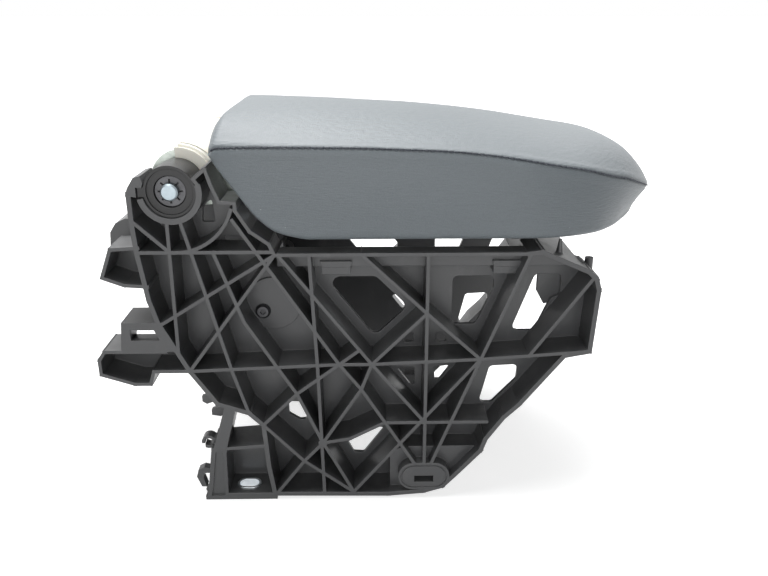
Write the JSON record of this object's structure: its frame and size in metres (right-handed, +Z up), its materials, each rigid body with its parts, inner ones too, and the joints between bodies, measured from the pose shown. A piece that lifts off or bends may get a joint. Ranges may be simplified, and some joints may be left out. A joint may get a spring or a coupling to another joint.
{
  "type": "car centre armrest",
  "caption": "Car centre armrest: ribbed open stand with slotted feet, a hinge at the rear and an upholstered lid that tilts and slides.",
  "frame": {"origin": "middle of the box around the closed armrest, on the floor plane under the feet", "axes": "+X points to the lid's nose, +Y to the left side frame, +Z up"},
  "size_m": [0.37, 0.188, 0.258],
  "materials": {
    "black_plastic": "moulded, satin",
    "inner_plastic": "moulded, satin",
    "zinc_steel": "zinc plated",
    "dark_steel": "black coated",
    "rubber": "matt",
    "white_nylon": "natural",
    "leatherette": "fine grain, satin"
  },
  "bodies": {
    "stand": {"side_frame_right": "black_plastic", "side_frame_left": "black_plastic", "front_cross_bar": "black_plastic", "upper_rear_bar": "black_plastic", "lower_rear_bar": "black_plastic", "middle_tie": "black_plastic", "hinge_pin": "zinc_steel", "pivot_bush_right": "black_plastic", "pivot_bush_left": "black_plastic", "star_washer_right": "dark_steel", "star_washer_left": "dark_steel", "foot_sleeve_right": "zinc_steel", "foot_sleeve_left": "zinc_steel", "frame_screws": "dark_steel", "lid_buffers": "rubber"},
    "carrier": {"hinge_barrel": "black_plastic", "hinge_saddle": "white_nylon", "hinge_arm_right": "zinc_steel", "hinge_arm_left": "zinc_steel", "carrier_plate": "dark_steel", "slide_rail_right": "zinc_steel", "slide_rail_left": "zinc_steel", "arm_rivets": "zinc_steel"},
    "lid": {"lid_pad": "leatherette", "lid_core": "inner_plastic", "lid_base": "inner_plastic", "runner_right": "white_nylon", "runner_left": "white_nylon", "lid_screws": "dark_steel"}
  },
  "joints": [
    {"name": "lid_hinge", "type": "hinge", "parent": "stand", "child": "carrier", "pos_m": [-0.129, 0, 0.215], "axis": [0, -1, 0], "range_deg": [0, 75]},
    {"name": "lid_slide", "type": "slide", "parent": "carrier", "child": "lid", "axis": [1, 0, 0], "range_m": [0, 0.06]}
  ]
}
